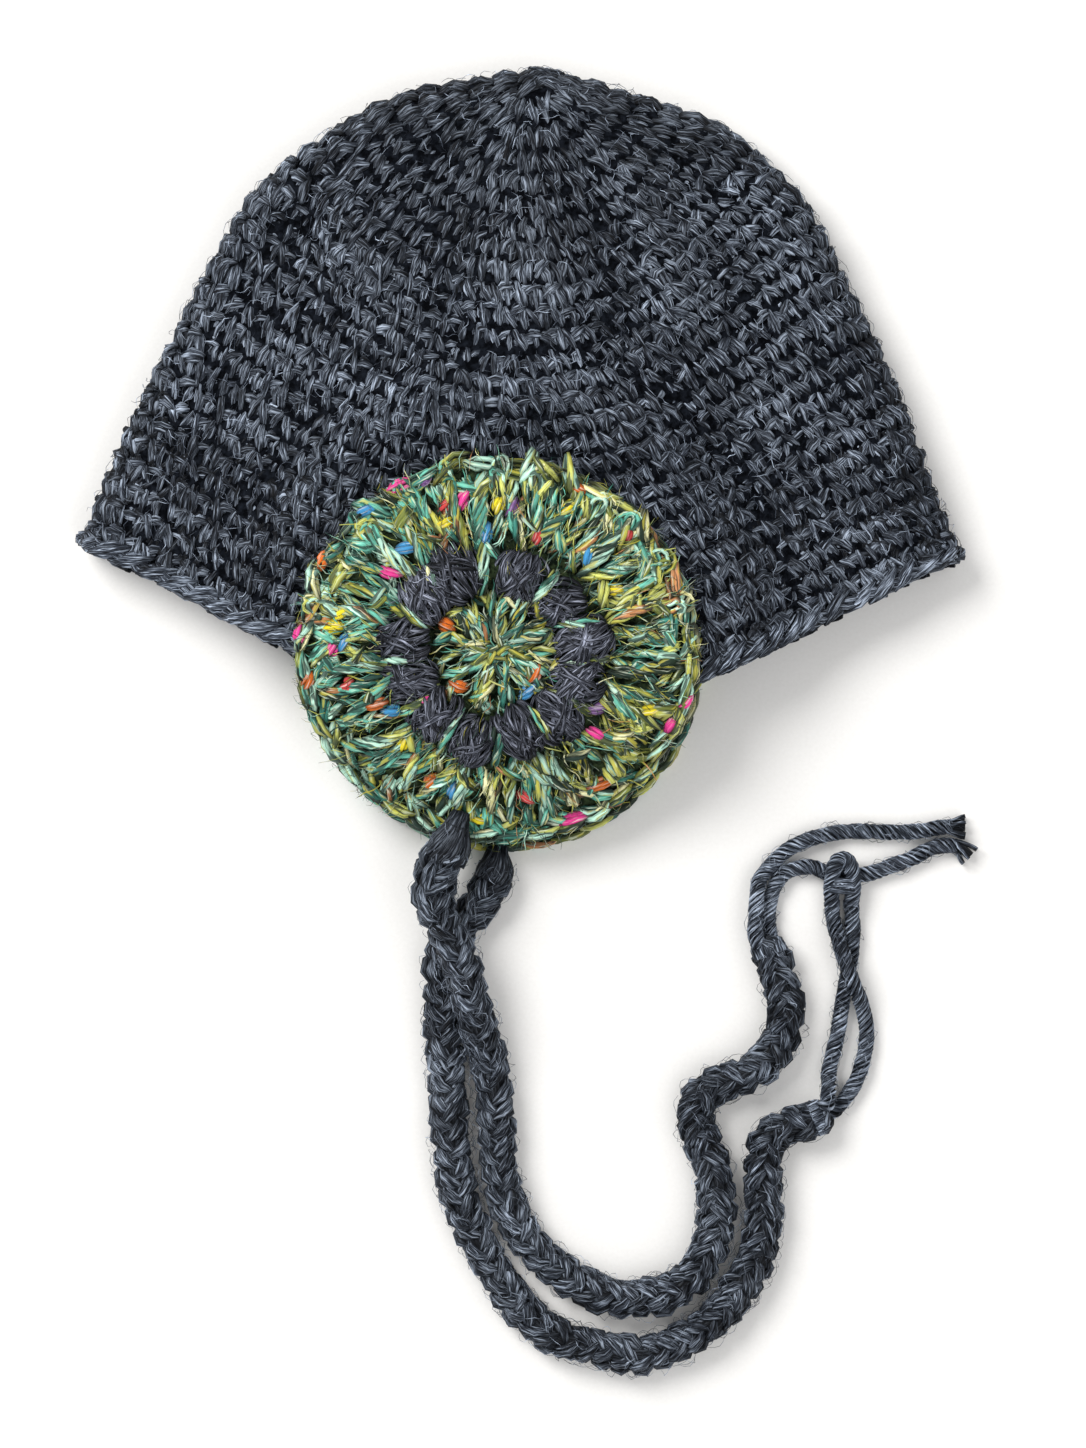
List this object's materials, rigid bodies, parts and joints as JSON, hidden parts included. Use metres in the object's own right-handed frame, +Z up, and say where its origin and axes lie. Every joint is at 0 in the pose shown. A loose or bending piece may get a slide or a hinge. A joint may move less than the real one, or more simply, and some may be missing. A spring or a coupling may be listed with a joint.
{
  "type": "crocheted ear-flap hat lying flat",
  "caption": "Crocheted hat lying flat on its side: a round-topped hollow crown, a round ear flap lying on each side of the brim, and thick ties that end in thin twisted strands.",
  "frame": {"origin": "on the surface the hat lies on, below the middle of the hat without its ties", "axes": "+X along the brim to the right as seen from above, +Y from the brim to the top of the crown, +Z up from the surface"},
  "size_m": [0.2765, 0.4029, 0.0477],
  "materials": {
    "slate_yarn": "thick crocheted yarn in dark slate blue, matt with fine fibres",
    "mixed_yarn": "thick crocheted yarn in mixed greens with turquoise, yellow and bright flecks, matt and hairy"
  },
  "bodies": {
    "root": {"crown": "slate_yarn", "near_flap_centre": "mixed_yarn", "near_flap_cluster_ring": "slate_yarn", "near_flap_outer_round": "mixed_yarn", "near_flap_edging": "mixed_yarn", "far_flap_centre": "mixed_yarn", "far_flap_cluster_ring": "slate_yarn", "far_flap_outer_round": "mixed_yarn", "far_flap_edging": "mixed_yarn", "near_tie": "slate_yarn", "far_tie": "slate_yarn", "near_strand_outer": "slate_yarn", "near_strand_inner": "slate_yarn", "far_strand_over": "slate_yarn", "far_strand_under": "slate_yarn", "far_strand_knot": "slate_yarn"}
  },
  "joints": []
}
